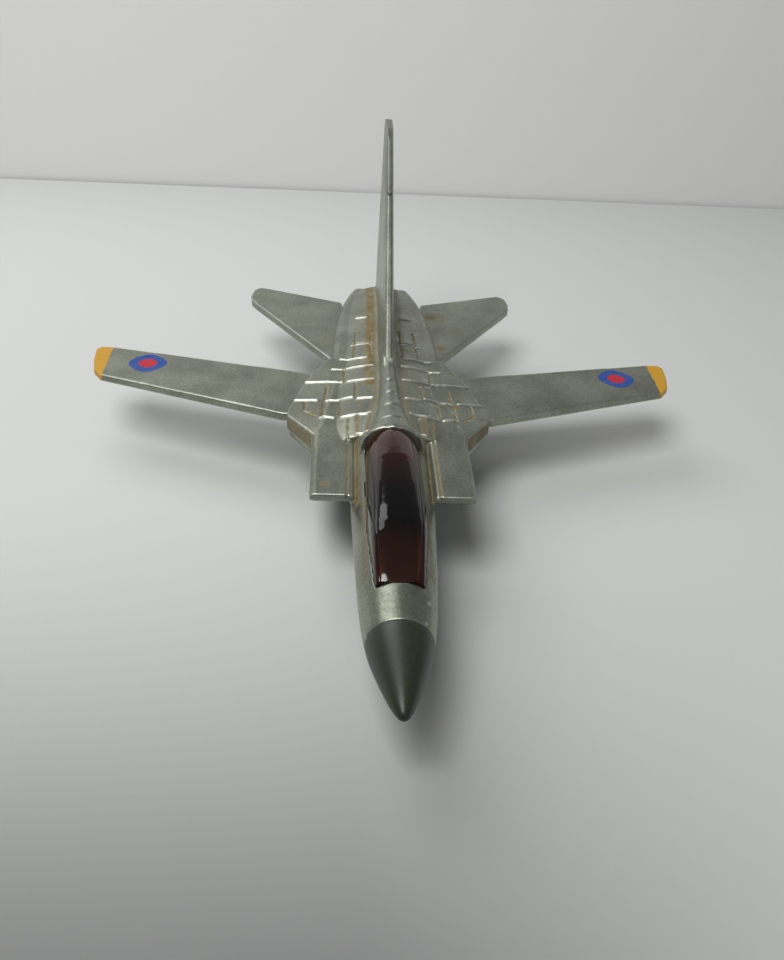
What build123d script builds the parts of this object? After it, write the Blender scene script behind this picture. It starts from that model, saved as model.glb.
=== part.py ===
from build123d import *
import os

# Pocket die-cast swing-wing jet, drawn in millimetres.
# Nose points to -Y, tail to +Y, the pilot's left wing to +X, +Z is up, the wheels touch Z = 0.

# ---- overall ----
axis_z = 11.5            # height of the fuselage axis above the ground
nose_tip_y = -55.5       # front end of the nose cone
cone_base_y = -44.3      # joint between nose cone and castings
body_end_y = 53.3        # rear end of the castings
seam_z = axis_z + 0.9    # the two castings meet on this plane
rib_height = 0.14        # raised panel ribs across the castings
rib_width = 0.34
groove = 0.18            # depth of the panel grooves along the castings
groove_width = 0.26

# ---- nose barrel and spine ----
belly_drop = 4.8         # belly below the fuselage axis
spine_top = 8.3          # spine crest above the fuselage axis
deck_top = 3.9           # flat deck above the fuselage axis
crown_top = 5.1          # crowned middle of the deck above the fuselage axis

# ---- intakes ----
trunk_in = 5.4           # inner side of an intake trunk, inside the nose barrel
splitter_x = 6.3         # gap between intake and nose barrel
splitter_width = 0.24
splitter_depth = 0.5
trunk_out = 11.35        # outer side of an intake trunk
lip_y = -20.3            # front lip of the intakes
lip_height = 1.0         # vertical face of the lip
rake_run = 11.5          # how far the intake mouth slopes back
trunk_rear_y = -4.4      # where the glove starts
duct_depth = 4.0         # blind depth behind the lower edge of the mouths

# ---- canopy ----
canopy_front_y = -39.1
canopy_rear_y = -10.6
canopy_sill = 3.4        # bottom of the canopy above the fuselage axis

# ---- swinging wings ----
pivot_x = 11.0
pivot_y = 7.5
wing_low = axis_z + 1.0      # underside of the wing
wing_thick = 1.45
wing_gap = 0.15              # free height above and below the wing
glove_top = axis_z + 4.0
glove_flat = 9.3             # the glove is flat up to here and slopes down outboard
glove_fall = 1.0             # how far it drops towards the nibs
pin_radius = 0.9
pin_top = axis_z + 3.3       # upper end of a pivot pin, inside the glove plate
pin_grip = 3.5               # length of a pivot pin inside the lower casting
running_fit = 0.05
hub_radius = 5.2

# ---- tail ----
tail_low = axis_z + 0.2
tail_thick = 1.4
fin_root_half = 0.95
fin_tip_half = 0.65
fin_corner_y = 41.0
fin_corner_z = axis_z + 30.7
fin_top_z = axis_z + 34.2
fin_end_y = 55.5
nozzle_x = 2.5
nozzle_radius = 2.1

# ---- undercarriage ----
main_wheel_radius = 2.9
main_wheel_width = 1.7
main_wheel_x = 9.05
main_axle_y = 15.0
main_leg_x = 6.9
main_leg_thick = 1.6
axle_radius = 0.5
axle_head_radius = 0.85
nose_wheel_radius = 2.0
nose_wheel_width = 1.1
nose_wheel_x = 1.55
nose_axle_y = -29.0
leg_depth = 2.4              # how far each leg is pressed into its socket
belly_z = axis_z - belly_drop

# ---- fixings ----
rivet_radius = 0.9
rivet_head_radius = 1.6
rivet_ys = (-4.0, 33.0)
post_radius = 2.0


def side_point(across, height):
    # a point of a cross section, given from the fuselage axis
    return (across, axis_z + height)


def section_plane(along):
    # upright plane across the fuselage at a distance along it
    return Plane.XZ.offset(-along)


def oval(along, half_width, above, below):
    # oval cross section with different heights above and below the axis
    with BuildSketch(section_plane(along)) as section:
        with Locations(side_point(0, (above - below) / 2)):
            Ellipse(half_width, (above + below) / 2)
    return section.sketch


def rounded(along, width, low, high, corner):
    # rounded rectangular cross section
    with BuildSketch(section_plane(along)) as section:
        with Locations(side_point(0, (low + high) / 2)):
            RectangleRounded(width, high - low, corner)
    return section.sketch


def canopy_section(along, foot, shoulder, shoulder_z, top, top_z, low):
    # six-cornered cross section of the canopy
    corners = [
        side_point(-foot, low),
        side_point(-shoulder, shoulder_z),
        side_point(-top, top_z),
        side_point(top, top_z),
        side_point(shoulder, shoulder_z),
        side_point(foot, low),
    ]
    with BuildSketch(section_plane(along)) as section:
        with BuildLine():
            Polyline(*corners, close=True)
        make_face()
    return section.sketch


def outline(points, level):
    # flat outline at a given height
    with BuildSketch(Plane.XY.offset(level)) as flat:
        with BuildLine():
            Polyline(*points, close=True)
        make_face()
    return flat.sketch


# ---------------------------------------------------------------- outer form of both castings
with BuildPart() as barrel:
    add(oval(cone_base_y, 4.15, 3.95, 4.1))
    add(oval(canopy_front_y, 4.75, 5.0, 4.4))
    add(oval(-34.5, 5.05, 5.75, 4.6))
    add(oval(-22.5, 5.6, 6.25, 4.7))
    add(oval(canopy_rear_y, 5.8, 6.3, 4.7))
    add(oval(4.0, 5.8, 5.4, 4.7))
    loft()

with BuildPart() as middle:
    add(rounded(trunk_rear_y - 0.2, 2 * trunk_out, -belly_drop, deck_top, 1.0))
    add(rounded(19.0, 18.4, -belly_drop, deck_top - 0.1, 1.5))
    add(rounded(28.0, 18.1, -4.6, 3.4, 1.7))
    add(rounded(47.3, 14.4, -3.9, 2.5, 1.6))
    add(rounded(body_end_y, 11.2, -3.4, 2.2, 1.4))
    loft()

with BuildPart() as crown:
    add(oval(trunk_rear_y - 2.0, 8.3, crown_top, -0.5))
    add(oval(19.0, 8.3, crown_top - 0.2, 0.5))
    add(oval(28.0, 7.8, 4.4, 0.5))
    add(oval(47.3, 6.0, 3.5, 0.5))
    add(oval(body_end_y - 0.6, 4.4, 3.0, 0.5))
    loft()

with BuildPart() as spine:
    add(oval(canopy_rear_y + 0.6, 4.1, 8.7, 0))
    add(oval(-3.5, 2.65, spine_top, 0))
    add(oval(4.0, 1.75, spine_top - 0.2, 0))
    add(oval(15.0, 1.3, spine_top - 0.1, 0))
    add(oval(34.0, 1.05, 7.0, 0))
    loft()

# collar around the rear edge of the canopy
with BuildPart() as collar:
    add(oval(canopy_rear_y - 0.1, 4.55, 9.0, -1.5))
    extrude(amount=1.1, dir=(0, 1, 0))

# intake trunks with a raked mouth and a narrow splitter gap beside the nose barrel
with BuildPart() as trunks:
    for side in (-1, 1):
        with BuildSketch(section_plane(lip_y)):
            with Locations(side_point(side * (trunk_in + trunk_out) / 2, (4.0 - belly_drop) / 2)):
                RectangleRounded(trunk_out - trunk_in, 4.0 + belly_drop, 0.9)
        extrude(amount=-(trunk_rear_y + 1.0 - lip_y))
    mouth = [
        (lip_y - 1.0, axis_z + 4.0 - lip_height),
        (lip_y, axis_z + 4.0 - lip_height),
        (lip_y + rake_run, belly_z - 0.5),
        (lip_y - 1.0, belly_z - 0.5),
    ]
    with BuildSketch(Plane.YZ.offset(-20)):
        with BuildLine():
            Polyline(*mouth, close=True)
        make_face()
    extrude(amount=40, mode=Mode.SUBTRACT)
    for side in (-1, 1):
        with BuildSketch(section_plane(lip_y)):
            with Locations(side_point(side * (splitter_x + trunk_out) / 2, -0.9)):
                RectangleRounded(trunk_out - splitter_x - 1.3, 6.2, 0.5)
        extrude(amount=-duct_depth - rake_run, mode=Mode.SUBTRACT)

# gloves over the wing roots, with the pointed nib at each side
glove_side = [
    (0, trunk_rear_y - 0.4),
    (trunk_out, trunk_rear_y - 0.4),
    (15.5, 1.5),
    (15.5, 2.9),
    (13.7, 9.9),
    (12.1, 14.6),
    (9.4, 19.4),
    (0, 19.4),
]
with BuildPart() as glove:
    add(outline(glove_side, seam_z - 0.4))
    extrude(amount=glove_top - seam_z + 0.4)
    slope = [
        (glove_flat, glove_top),
        (17.0, glove_top),
        (17.0, glove_top - glove_fall),
    ]
    with BuildSketch(section_plane(-10.0)):
        with BuildLine():
            Polyline(*slope, close=True)
        make_face()
    extrude(amount=-40, mode=Mode.SUBTRACT)
    sloped_face = glove.faces().filter_by_position(Axis.X, glove_flat + 0.5, 17).sort_by(Axis.Z)[-1]
    fillet(sloped_face.edges().filter_by_position(Axis.X, glove_flat + 0.3, 17), 0.25)
    mirror(about=Plane.YZ)

# shelves of the lower casting that carry the wings
shelf_side = [
    (0, trunk_rear_y),
    (trunk_out - 0.3, trunk_rear_y),
    (15.1, 1.7),
    (14.9, 2.7),
    (12.6, 9.6),
    (9.0, 17.0),
    (0, 17.0),
]
with BuildPart() as shelf:
    add(outline(shelf_side, seam_z - 1.6))
    extrude(amount=1.6)
    mirror(about=Plane.YZ)

# fin with a swept leading edge and a rounded cap
fin_profile = [
    (9.6, axis_z + 7.6),
    (fin_corner_y, fin_corner_z),
    (44.6, fin_top_z - 1.0),
    (48.6, fin_top_z),
    (fin_end_y - 0.5, fin_top_z),
    (fin_end_y, fin_top_z - 0.6),
    (52.6, axis_z + 2.4),
    (9.6, axis_z + 2.4),
]
with BuildPart() as fin:
    with BuildSketch(Plane.YZ.offset(-fin_root_half)):
        with BuildLine():
            Polyline(*fin_profile, close=True)
        make_face()
    extrude(amount=2 * fin_root_half)
    for side in (-1, 1):
        lean = [
            (side * fin_root_half, axis_z + 9.0),
            (side * 3.0, axis_z + 9.0),
            (side * 3.0, fin_top_z + 1),
            (side * fin_tip_half, fin_top_z + 1),
        ]
        with BuildSketch(section_plane(-5.0)):
            with BuildLine():
                Polyline(*lean, close=True)
            make_face()
        extrude(amount=-70, mode=Mode.SUBTRACT)
    fillet(fin.edges().filter_by_position(Axis.Z, axis_z + 10, fin_top_z + 1).group_by(Axis.X)[0], 0.3)
    fillet(fin.edges().filter_by_position(Axis.Z, axis_z + 10, fin_top_z + 1).group_by(Axis.X)[-1], 0.3)

with BuildPart() as airframe:
    add(barrel.part)
    add(middle.part)
    add(crown.part)
    add(spine.part)
    add(collar.part)
    add(trunks.part)
    add(shelf.part)
    add(glove.part)
    add(fin.part)

# ---------------------------------------------------------------- panel lines
# start and end of every rib and groove on the right-hand side of the deck, seen from above
rib_lines = (
    (2.3, 15.0, 8.9, 15.1),
    (2.3, 9.8, 6.6, 10.1),
    (7.2, 10.6, 13.5, 11.3),
    (2.5, 3.6, 4.9, 3.7),
    (5.5, 4.4, 9.8, 4.7),
    (10.9, 5.2, 15.0, 5.8),
    (3.0, -1.1, 7.5, -0.9),
    (8.2, -0.5, 10.4, -0.1),
    (3.5, -6.1, 5.1, -5.9),
    (3.2, 18.4, 7.6, 18.7),
    (2.4, 25.2, 5.6, 25.4),
    (3.0, 36.0, 4.9, 36.2),
)
groove_lines = (
    (9.6, 9.2, 10.3, -0.1),
    (6.9, 10.6, 6.9, 15.2),
    (5.2, 4.8, 5.1, 9.2),
    (7.6, 0.1, 7.6, 4.1),
    (11.2, 0.3, 13.1, 2.1),
    (12.9, 2.9, 12.9, 5.0),
    (5.4, 18.8, 5.0, 30.2),
    (2.6, 19.0, 2.5, 30.0),
)
spine_lines = (-6.6, -2.6, 1.2, 5.2)


def strip_corners(start_x, start_y, end_x, end_y, width):
    # corners of a narrow strip between two points
    run = (end_x - start_x, end_y - start_y)
    length = (run[0] ** 2 + run[1] ** 2) ** 0.5
    off_x = -run[1] / length * width / 2
    off_y = run[0] / length * width / 2
    return [
        (start_x + off_x, start_y + off_y),
        (end_x + off_x, end_y + off_y),
        (end_x - off_x, end_y - off_y),
        (start_x - off_x, start_y - off_y),
    ]


with BuildPart() as rib_slabs:
    for line in rib_lines:
        add(outline(strip_corners(*line, rib_width), axis_z + 1.5))
        extrude(amount=6.0)
    mirror(about=Plane.YZ)
    for along in spine_lines:
        with Locations((0, along, axis_z + 9)):
            Box(5.0, rib_width + 0.1, 3.6)

with BuildPart() as groove_slabs:
    for line in groove_lines:
        add(outline(strip_corners(*line, groove_width), axis_z + 1.5))
        extrude(amount=6.0)
    mirror(about=Plane.YZ)

with BuildPart() as splitter_gaps:
    for side in (-1, 1):
        with Locations((side * splitter_x, (lip_y - 1.4) / 2, glove_top - splitter_depth)):
            Box(
                splitter_width,
                -lip_y - 1.4,
                3,
                align=(Align.CENTER, Align.CENTER, Align.MIN),
            )

# the ribs follow the airframe's own surface, and only its skin is taken away in the grooves
with BuildPart() as ribs:
    add(airframe.part.moved(Location((0, 0, rib_height))))
    add(rib_slabs.part, mode=Mode.INTERSECT)

with BuildPart() as panel_cut:
    add(airframe.part)
    add(airframe.part.moved(Location((0, 0, -groove))), mode=Mode.SUBTRACT)
    add(groove_slabs.part, mode=Mode.INTERSECT)

# ---------------------------------------------------------------- spaces inside the castings
with BuildPart() as barrel_room:
    add(oval(-42.6, 3.0, 2.8, 3.0))
    add(oval(canopy_front_y, 3.5, 3.6, 3.2))
    add(oval(-22.5, 4.3, 5.0, 3.5))
    add(oval(canopy_rear_y + 1.5, 4.5, 5.0, 3.5))
    loft()

with BuildPart() as middle_room:
    with BuildSketch(section_plane(-7.0)):
        with Locations(side_point(0, -0.4)):
            RectangleRounded(8.4, 6.4, 0.8)
    extrude(amount=-51.0)

canopy_side = [
    (2.92, canopy_front_y),
    (3.74, -30.0),
    (3.93, -20.0),
    (3.8, canopy_rear_y),
]
canopy_outline = canopy_side + [(-x, y) for x, y in reversed(canopy_side)]

# half width and length of the space each swinging wing root needs
with BuildPart() as wing_rooms:
    for side in (-1, 1):
        with BuildSketch(Plane.XY.offset(seam_z - 0.01)):
            with Locations((side * pivot_x, pivot_y)):
                Circle(hub_radius + 0.35)
        extrude(amount=wing_low + wing_thick + wing_gap - seam_z + 0.01)
        sweep_area = [
            (side * (pivot_x + 20), pivot_y - 4.8),
            (side * pivot_x, pivot_y - 4.8),
            (side * (pivot_x - 5.6), pivot_y),
            (side * (pivot_x - 5.6), pivot_y + 8.6),
            (side * (pivot_x - 4.4), pivot_y + 10.4),
            (side * (pivot_x + 5.0), pivot_y + 22.5),
            (side * (pivot_x + 20), pivot_y + 22.5),
        ]
        with BuildSketch(Plane.XY.offset(seam_z - 0.01)):
            with BuildLine():
                Polyline(*sweep_area, close=True)
            make_face()
        extrude(amount=wing_low + wing_thick + wing_gap - seam_z + 0.01)

tail_outline = [
    (9.0, 23.2),
    (23.4, 45.0),
    (24.7, 47.2),
    (25.0, 49.4),
    (24.6, 52.2),
    (23.4, 53.4),
    (21.6, 52.8),
    (7.6, 47.6),
    (7.0, 43.5),
    (3.4, 43.5),
    (3.4, 29.0),
    (8.0, 29.0),
]
with BuildPart() as tail_slots:
    for side in (-1, 1):
        add(outline([(side * x, y) for x, y in tail_outline], tail_low))
        extrude(amount=tail_thick)

with BuildPart() as exhaust_room:
    with BuildSketch(section_plane(46.0)):
        with Locations(side_point(0, -0.8)):
            Rectangle(10.4, 4.4)
    extrude(amount=-1.4)
    with BuildSketch(section_plane(47.4)):
        with Locations(side_point(-nozzle_x, -0.8), side_point(nozzle_x, -0.8)):
            Circle(nozzle_radius)
    extrude(amount=-10)

# ---------------------------------------------------------------- upper casting
with BuildPart() as upper_body:
    add(airframe.part)
    split(bisect_by=Plane.XY.offset(seam_z), keep=Keep.TOP)
    add(ribs.part)
    add(panel_cut.part, mode=Mode.SUBTRACT)
    add(splitter_gaps.part, mode=Mode.SUBTRACT)
    add(barrel_room.part, mode=Mode.SUBTRACT)
    add(middle_room.part, mode=Mode.SUBTRACT)
    # window opening for the canopy
    add(outline(canopy_outline, axis_z + canopy_sill))
    extrude(amount=8, mode=Mode.SUBTRACT)
    # bosses that take the rivets
    for along in rivet_ys:
        with Locations((0, along, seam_z)):
            Cylinder(post_radius, 2.6, align=(Align.CENTER, Align.CENTER, Align.MIN))
        with Locations((0, along, seam_z)):
            Cylinder(rivet_radius, 1.8, align=(Align.CENTER, Align.CENTER, Align.MIN), mode=Mode.SUBTRACT)
    add(wing_rooms.part, mode=Mode.SUBTRACT)
    # blind holes for the tops of the pivot pins
    with Locations((pivot_x, pivot_y, pin_top), (-pivot_x, pivot_y, pin_top)):
        Cylinder(pin_radius, 2.0, align=(Align.CENTER, Align.CENTER, Align.MAX), mode=Mode.SUBTRACT)
    add(tail_slots.part, mode=Mode.SUBTRACT)
    add(exhaust_room.part, mode=Mode.SUBTRACT)
    # spigot hole of the nose cone
    with BuildSketch(section_plane(cone_base_y)):
        with Locations(side_point(0, -0.1)):
            Circle(2.6)
    extrude(amount=-2.0, mode=Mode.SUBTRACT)

# ---------------------------------------------------------------- lower casting
with BuildPart() as lower_body:
    add(airframe.part)
    split(bisect_by=Plane.XY.offset(seam_z), keep=Keep.BOTTOM)
    add(barrel_room.part, mode=Mode.SUBTRACT)
    add(middle_room.part, mode=Mode.SUBTRACT)
    # posts that carry the rivets
    for along in rivet_ys:
        with Locations((0, along, belly_z + 1.0)):
            Cylinder(post_radius, seam_z - belly_z - 1.0, align=(Align.CENTER, Align.CENTER, Align.MIN))
        with Locations((0, along, belly_z - 1.0)):
            Cylinder(rivet_radius, 12, align=(Align.CENTER, Align.CENTER, Align.MIN), mode=Mode.SUBTRACT)
        with Locations((0, along, belly_z + 0.6)):
            Cylinder(
                rivet_head_radius,
                3,
                align=(Align.CENTER, Align.CENTER, Align.MAX),
                mode=Mode.SUBTRACT,
            )
    # cores that lighten the casting under the wing roots and the rear deck
    for side in (-1, 1):
        with Locations((side * 6.0, 3.5, seam_z)):
            Box(4.4, 13.0, 4.2, align=(Align.CENTER, Align.CENTER, Align.MAX), mode=Mode.SUBTRACT)
        with Locations((side * 6.9, 23.5, seam_z)):
            Box(2.4, 8.0, 4.0, align=(Align.CENTER, Align.CENTER, Align.MAX), mode=Mode.SUBTRACT)
    # bosses with the pressed holes of the pivot pins
    with Locations((pivot_x, pivot_y, seam_z), (-pivot_x, pivot_y, seam_z)):
        Cylinder(pin_radius + 0.9, pin_grip + 0.6, align=(Align.CENTER, Align.CENTER, Align.MAX))
        Cylinder(
            pin_radius,
            pin_grip,
            align=(Align.CENTER, Align.CENTER, Align.MAX),
            mode=Mode.SUBTRACT,
        )
    add(tail_slots.part, mode=Mode.SUBTRACT)
    add(exhaust_room.part, mode=Mode.SUBTRACT)
    with BuildSketch(section_plane(cone_base_y)):
        with Locations(side_point(0, -0.1)):
            Circle(2.6)
    extrude(amount=-2.0, mode=Mode.SUBTRACT)
    # sockets of the wheel legs
    for side in (-1, 1):
        with Locations((side * main_leg_x, main_axle_y, belly_z - 0.5)):
            Box(
                main_leg_thick,
                2.4,
                leg_depth + 0.5,
                align=(Align.CENTER, Align.CENTER, Align.MIN),
                mode=Mode.SUBTRACT,
            )
    with Locations((0, nose_axle_y, belly_z - 0.5)):
        Cylinder(
            0.9,
            leg_depth + 0.5,
            align=(Align.CENTER, Align.CENTER, Align.MIN),
            mode=Mode.SUBTRACT,
        )

# ---------------------------------------------------------------- nose cone
with BuildPart() as nose_cone:
    with BuildSketch(Plane.YZ):
        with BuildLine():
            Line((nose_tip_y, axis_z - 0.1), (cone_base_y, axis_z - 0.1))
            Line((cone_base_y, axis_z - 0.1), (cone_base_y, axis_z + 4.0))
            Spline(
                (cone_base_y, axis_z + 4.0),
                (-48.0, axis_z + 3.2),
                (-52.0, axis_z + 1.95),
                (-54.9, axis_z + 0.72),
                (nose_tip_y, axis_z - 0.1),
                tangents=((-1, -0.12), (0, -1)),
            )
        make_face()
    revolve(axis=Axis((0, 0, axis_z - 0.1), (0, 1, 0)), revolution_arc=360)
    # spigot with the collar that locks it behind the front wall of the castings
    with BuildSketch(section_plane(cone_base_y)):
        with Locations(side_point(0, -0.1)):
            Circle(2.6)
    extrude(amount=-1.7)
    with BuildSketch(section_plane(cone_base_y + 1.7)):
        with Locations(side_point(0, -0.1)):
            Circle(2.85)
    extrude(amount=-1.0)

# ---------------------------------------------------------------- canopy
sill_z = axis_z + canopy_sill
with BuildPart() as canopy_shell:
    add(canopy_section(canopy_front_y, 2.92, 2.92, 4.9, 2.85, 5.1, canopy_sill))
    add(canopy_section(-30.0, 3.74, 3.6, 5.6, 2.5, 8.8, canopy_sill))
    add(canopy_section(-20.0, 3.93, 3.8, 6.0, 2.4, 9.3, canopy_sill))
    add(canopy_section(canopy_rear_y, 3.8, 3.6, 6.5, 1.9, 8.55, canopy_sill))
    loft(ruled=True)

with BuildPart() as canopy_hollow:
    low = canopy_sill - 0.5
    add(canopy_section(canopy_front_y + 1.6, 2.0, 2.0, 4.6, 1.95, 4.8, low))
    add(canopy_section(-30.0, 2.84, 2.7, 5.2, 1.8, 7.9, low))
    add(canopy_section(-20.0, 3.03, 2.9, 5.6, 1.7, 8.4, low))
    add(canopy_section(canopy_rear_y - 1.0, 2.9, 2.7, 5.8, 1.4, 7.6, low))
    loft(ruled=True)

with BuildPart() as canopy:
    add(canopy_shell.part)
    add(canopy_hollow.part, mode=Mode.SUBTRACT)

# ---------------------------------------------------------------- swinging wings
wing_outline = [
    (12.0, 3.0),
    (16.4, 3.3),
    (46.2, 14.2),
    (47.6, 16.2),
    (48.3, 19.4),
    (48.7, 23.3),
    (48.0, 24.3),
    (45.9, 24.2),
    (13.0, 16.6),
    (12.6, 16.4),
]


def wing(side):
    # outer wing with its hub, for one side of the aircraft
    with BuildPart() as body:
        add(outline([(side * x, y) for x, y in wing_outline], wing_low))
        extrude(amount=wing_thick)
        with BuildSketch(Plane.XY.offset(wing_low)):
            with Locations((side * pivot_x, pivot_y)):
                Circle(hub_radius)
        extrude(amount=wing_thick)
        # the upper face thins towards the tip
        thinning = [
            (side * 18.0, wing_low + wing_thick),
            (side * 50.0, wing_low + wing_thick),
            (side * 50.0, wing_low + wing_thick - 0.3),
        ]
        with BuildSketch(section_plane(0.0)):
            with BuildLine():
                Polyline(*thinning, close=True)
            make_face()
        extrude(amount=-30, mode=Mode.SUBTRACT)
        with Locations((side * pivot_x, pivot_y, wing_low)):
            Cylinder(pin_radius + running_fit, 6, mode=Mode.SUBTRACT)
    return body


wing_left = wing(1)
wing_right = wing(-1)

# ---------------------------------------------------------------- tailplanes
def tailplane(side):
    # fixed tail surface with the tab that sits between the castings
    with BuildPart() as body:
        add(outline([(side * x, y) for x, y in tail_outline], tail_low))
        extrude(amount=tail_thick)
    return body


tailplane_left = tailplane(1)
tailplane_right = tailplane(-1)

# ---------------------------------------------------------------- exhaust
with BuildPart() as exhaust_insert:
    with BuildSketch(section_plane(46.0)):
        with Locations(side_point(0, -0.8)):
            Rectangle(10.4, 4.4)
    extrude(amount=-1.4)
    with BuildSketch(section_plane(47.4)):
        with Locations(side_point(-nozzle_x, -0.8), side_point(nozzle_x, -0.8)):
            Circle(nozzle_radius)
    extrude(amount=-7.2)
    with BuildSketch(section_plane(49.6)):
        with Locations(side_point(-nozzle_x, -0.8), side_point(nozzle_x, -0.8)):
            Circle(nozzle_radius - 0.45)
    extrude(amount=-6, mode=Mode.SUBTRACT)

# ---------------------------------------------------------------- fixings
with BuildPart() as pivot_pins:
    with Locations((pivot_x, pivot_y, pin_top), (-pivot_x, pivot_y, pin_top)):
        Cylinder(pin_radius, pin_top - seam_z + pin_grip, align=(Align.CENTER, Align.CENTER, Align.MAX))

with BuildPart() as body_rivets:
    for along in rivet_ys:
        with Locations((0, along, belly_z + 0.6)):
            Cylinder(rivet_head_radius, 0.8, align=(Align.CENTER, Align.CENTER, Align.MAX))
        with Locations((0, along, belly_z + 0.6)):
            Cylinder(
                rivet_radius,
                seam_z + 1.8 - belly_z - 0.6,
                align=(Align.CENTER, Align.CENTER, Align.MIN),
            )


# ---------------------------------------------------------------- undercarriage
def wheel(across, along, radius, width):
    # small wheel with a rounded tread and a dished hub, on an axle along X
    half = width / 2
    with BuildPart() as body:
        with BuildSketch(Plane.XY.offset(radius)):
            with BuildLine():
                Polyline(
                    (across - half, along + axle_radius + running_fit),
                    (across + half, along + axle_radius + running_fit),
                    (across + half, along + 0.50 * radius),
                    (across + half - 0.25, along + 0.55 * radius),
                    (across + half - 0.25, along + 0.64 * radius),
                    (across + half, along + 0.68 * radius),
                    (across + half, along + 0.86 * radius),
                    (across + half - 0.28, along + radius),
                    (across - half + 0.28, along + radius),
                    (across - half, along + 0.86 * radius),
                    (across - half, along + 0.68 * radius),
                    (across - half + 0.25, along + 0.64 * radius),
                    (across - half + 0.25, along + 0.55 * radius),
                    (across - half, along + 0.50 * radius),
                    close=True,
                )
            make_face()
        revolve(axis=Axis((0, along, radius), (1, 0, 0)), revolution_arc=360)
    return body


def axle(along, height, reach):
    # plain steel axle with a peened head at each end
    with BuildPart() as body:
        with BuildSketch(Plane.YZ.offset(-reach)):
            with Locations((along, height)):
                Circle(axle_radius)
        extrude(amount=2 * reach)
        for start in (-reach, reach - 0.35):
            with BuildSketch(Plane.YZ.offset(start)):
                with Locations((along, height)):
                    Circle(axle_head_radius)
            extrude(amount=0.35)
    return body


def main_leg(side):
    # flat strut with a round foot for the axle
    with BuildPart() as body:
        with Locations((side * main_leg_x, main_axle_y, main_wheel_radius)):
            Box(
                main_leg_thick,
                2.4,
                belly_z + leg_depth - main_wheel_radius,
                align=(Align.CENTER, Align.CENTER, Align.MIN),
            )
        with Locations((side * main_leg_x, main_axle_y, main_wheel_radius)):
            Cylinder(1.2, main_leg_thick, rotation=(0, 90, 0))
            Cylinder(axle_radius, 4, rotation=(0, 90, 0), mode=Mode.SUBTRACT)
    return body


main_wheel_left = wheel(main_wheel_x, main_axle_y, main_wheel_radius, main_wheel_width)
main_wheel_right = wheel(-main_wheel_x, main_axle_y, main_wheel_radius, main_wheel_width)
nose_wheel_left = wheel(nose_wheel_x, nose_axle_y, nose_wheel_radius, nose_wheel_width)
nose_wheel_right = wheel(-nose_wheel_x, nose_axle_y, nose_wheel_radius, nose_wheel_width)
main_axle = axle(main_axle_y, main_wheel_radius, main_wheel_x + main_wheel_width / 2 + 0.5)
nose_axle = axle(nose_axle_y, nose_wheel_radius, nose_wheel_x + nose_wheel_width / 2 + 0.45)
main_leg_left = main_leg(1)
main_leg_right = main_leg(-1)

with BuildPart() as nose_leg:
    with Locations((0, nose_axle_y, nose_wheel_radius)):
        Cylinder(
            0.9,
            belly_z + leg_depth - nose_wheel_radius,
            align=(Align.CENTER, Align.CENTER, Align.MIN),
        )
    with Locations((0, nose_axle_y, nose_wheel_radius)):
        Cylinder(0.95, 1.8, rotation=(0, 90, 0))
        Cylinder(axle_radius, 4, rotation=(0, 90, 0), mode=Mode.SUBTRACT)

# ---------------------------------------------------------------- one file for each piece
pieces = {
    "upper_body": upper_body,
    "lower_body": lower_body,
    "nose_cone": nose_cone,
    "canopy": canopy,
    "wing_left": wing_left,
    "wing_right": wing_right,
    "tailplane_left": tailplane_left,
    "tailplane_right": tailplane_right,
    "exhaust_insert": exhaust_insert,
    "pivot_pins": pivot_pins,
    "body_rivets": body_rivets,
    "nose_leg": nose_leg,
    "nose_axle": nose_axle,
    "nose_wheel_left": nose_wheel_left,
    "nose_wheel_right": nose_wheel_right,
    "main_leg_left": main_leg_left,
    "main_leg_right": main_leg_right,
    "main_axle": main_axle,
    "main_wheel_left": main_wheel_left,
    "main_wheel_right": main_wheel_right,
}
os.makedirs("parts", exist_ok=True)
for name, piece in pieces.items():
    piece.part.label = name
    export_step(piece.part, f"parts/{name}.step")
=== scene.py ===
import math
import bpy
import bmesh
import numpy as np
from mathutils import Matrix, Vector


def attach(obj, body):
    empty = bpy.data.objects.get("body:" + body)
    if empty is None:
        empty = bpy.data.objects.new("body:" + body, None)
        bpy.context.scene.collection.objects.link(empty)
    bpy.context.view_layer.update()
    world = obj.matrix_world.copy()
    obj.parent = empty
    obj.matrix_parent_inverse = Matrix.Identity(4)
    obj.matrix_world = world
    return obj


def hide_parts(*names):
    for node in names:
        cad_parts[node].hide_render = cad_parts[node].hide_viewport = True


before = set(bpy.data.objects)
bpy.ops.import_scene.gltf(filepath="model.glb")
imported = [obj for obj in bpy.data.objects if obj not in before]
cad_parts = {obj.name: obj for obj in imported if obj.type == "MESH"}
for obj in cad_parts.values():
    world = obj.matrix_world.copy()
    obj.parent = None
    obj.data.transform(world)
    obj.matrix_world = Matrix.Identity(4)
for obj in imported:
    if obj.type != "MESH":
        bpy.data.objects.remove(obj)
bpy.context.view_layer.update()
mm = 0.001
print("frame loaded")


# small helpers
def toLinear(hexText):
    # sRGB hex to the linear colour the shader works in
    channels = [int(hexText[i : i + 2], 16) / 255 for i in (1, 3, 5)]
    return tuple(c / 12.92 if c <= 0.04045 else ((c + 0.055) / 1.055) ** 2.4 for c in channels) + (1.0,)


def addNode(tree, kind, settings=None, inputs=None):
    # one node, its settings, and its inputs: a value, or (node, output) for a link
    node = tree.nodes.new(kind)
    for name, value in (settings or {}).items():
        setattr(node, name, value)
    for name, value in (inputs or {}).items():
        if isinstance(value, tuple) and value and isinstance(value[0], bpy.types.Node):
            tree.links.new(value[0].outputs[value[1]], node.inputs[name])
        else:
            node.inputs[name].default_value = value
    return node


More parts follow.
